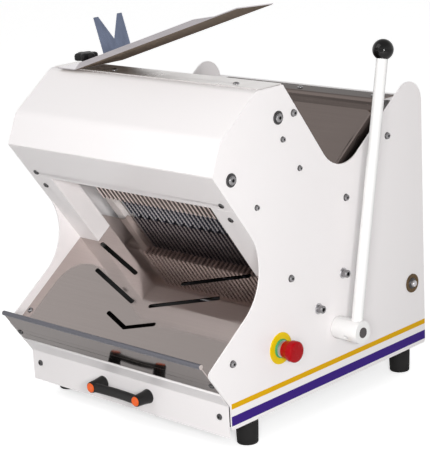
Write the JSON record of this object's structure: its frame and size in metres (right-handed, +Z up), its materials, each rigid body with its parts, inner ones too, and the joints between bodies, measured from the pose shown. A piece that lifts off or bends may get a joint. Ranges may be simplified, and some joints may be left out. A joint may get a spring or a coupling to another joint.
{
  "type": "bread slicer machine",
  "caption": "Table-top bread slicer: sloping bed, hand lever and pusher that drive a loaf through two reciprocating blade frames onto a crumb tray, with bag scoop and drawer.",
  "frame": {"origin": "middle of the overall box on the plane that the feet stand on", "axes": "+Z up, +Y towards the rear cover, +X towards the lever side"},
  "size_m": [0.614, 0.6734, 0.7944],
  "materials": {
    "white_paint": "gloss",
    "polished_stainless": "polished",
    "dark_stainless": "polished",
    "zinc_steel": "satin",
    "blade_steel": "satin",
    "grey_metal": "satin",
    "black_iron": "satin",
    "bronze": "satin",
    "black_gloss": "gloss",
    "black_plastic": "matte",
    "rubber": "matte",
    "red_plastic": "gloss",
    "yellow_plastic": "satin",
    "green_plastic": "satin",
    "orange_plastic": "satin",
    "yellow_film": "gloss",
    "purple_film": "gloss"
  },
  "bodies": {
    "base": {"side_plate_right": "white_paint", "side_plate_left": "white_paint", "front_cover": "white_paint", "exit_panel": "white_paint", "exit_guard_right": "white_paint", "exit_guard_left": "white_paint", "top_plate": "polished_stainless", "head_rear_panel": "white_paint", "infeed_chute": "dark_stainless", "chute_crossbar": "zinc_steel", "rear_cover": "white_paint", "outfeed_tray": "polished_stainless", "front_apron": "polished_stainless", "stripper_comb": "zinc_steel", "tie_bars": "zinc_steel", "side_bolts_right": "zinc_steel", "side_bolts_left": "zinc_steel", "stop_bolts": "zinc_steel", "blade_guides": "grey_metal", "motor": "grey_metal", "motor_shelf": "grey_metal", "drive_belt": "rubber", "bearing_blocks": "grey_metal", "shaft_bushes": "bronze", "pivot_caps": "bronze", "drawer_runners": "grey_metal", "estop_disc": "yellow_plastic", "estop_collar": "green_plastic", "estop_block": "black_plastic", "stripes_yellow": "yellow_film", "stripes_purple": "purple_film", "feet": "rubber", "panel_screws": "zinc_steel", "cable_gland": "black_plastic"},
    "lever": {"lever_shaft": "zinc_steel", "lever_hub": "white_paint", "lever_tube": "white_paint", "lever_ball": "black_gloss", "hub_plug": "black_plastic", "lever_crank": "grey_metal"},
    "push_rod": {"push_rod": "zinc_steel"},
    "pusher": {"pusher_shaft": "zinc_steel", "pusher_arms": "grey_metal", "pusher_plate": "polished_stainless"},
    "front_saw": {"blade_frame_front": "zinc_steel", "blades_front": "blade_steel"},
    "rear_saw": {"blade_frame_rear": "zinc_steel", "blades_rear": "blade_steel"},
    "crank": {"crankshaft": "zinc_steel", "crank_pulley": "black_iron"},
    "motor_rotor": {"motor_pulley": "black_iron"},
    "drawer": {"drawer_pan": "polished_stainless", "drawer_front": "white_paint", "drawer_handle": "black_plastic", "handle_caps": "orange_plastic", "drawer_screws": "zinc_steel"},
    "stop_button": {"estop_button": "red_plastic"},
    "scoop": {"bag_scoop": "polished_stainless", "scoop_fork": "dark_stainless"},
    "knob": {"clamp_knob": "black_plastic"}
  },
  "joints": [
    {"name": "lever_swing", "type": "hinge", "parent": "base", "child": "lever", "pos_m": [-0.026, 0.04175, 0.16], "axis": [-1, 0, 0], "range_deg": [0, 39]},
    {"name": "rod_swing", "type": "hinge", "parent": "lever", "child": "push_rod", "pos_m": [0.215, 0.0006, 0.21663], "axis": [-1, 0, 0], "range_deg": [-39, 0]},
    {"name": "pusher_swing", "type": "hinge", "parent": "base", "child": "pusher", "pos_m": [-0.026, 0.27875, 0.186], "axis": [-1, 0, 0], "range_deg": [0, 39]},
    {"name": "front_saw_slide", "type": "slide", "parent": "base", "child": "front_saw", "axis": [0, -0.5878, 0.809], "range_m": [-0.01, 0.01]},
    {"name": "rear_saw_slide", "type": "slide", "parent": "base", "child": "rear_saw", "axis": [0, -0.5878, 0.809], "range_m": [-0.01, 0.01]},
    {"name": "crank_turn", "type": "hinge", "parent": "base", "child": "crank", "pos_m": [-0.026, 0.01563, 0.25211], "axis": [1, 0, 0], "continuous": true},
    {"name": "motor_turn", "type": "hinge", "parent": "base", "child": "motor_rotor", "pos_m": [-0.026, 0.17275, 0.263], "axis": [1, 0, 0], "continuous": true},
    {"name": "drawer_slide", "type": "slide", "parent": "base", "child": "drawer", "axis": [0, -1, 0], "range_m": [0, 0.24]},
    {"name": "stop_press", "type": "slide", "parent": "base", "child": "stop_button", "axis": [-1, 0, 0], "range_m": [0, 0.005], "stiffness_N_per_m": 400},
    {"name": "scoop_swivel", "type": "hinge", "parent": "base", "child": "scoop", "pos_m": [-0.238, -0.11699, 0.64928], "axis": [0, 0, 1], "range_deg": [-60, 60]},
    {"name": "knob_turn", "type": "hinge", "parent": "base", "child": "knob", "pos_m": [-0.238, -0.11699, 0.64928], "axis": [0, 0, 1], "range_deg": [0, 180]}
  ],
  "couplings": [
    {"joint": "rod_swing", "follows": "lever_swing", "ratio": -1},
    {"joint": "pusher_swing", "follows": "lever_swing", "ratio": 1},
    {"joint": "rear_saw_slide", "follows": "front_saw_slide", "ratio": -1},
    {"joint": "motor_turn", "follows": "crank_turn", "ratio": 2}
  ]
}
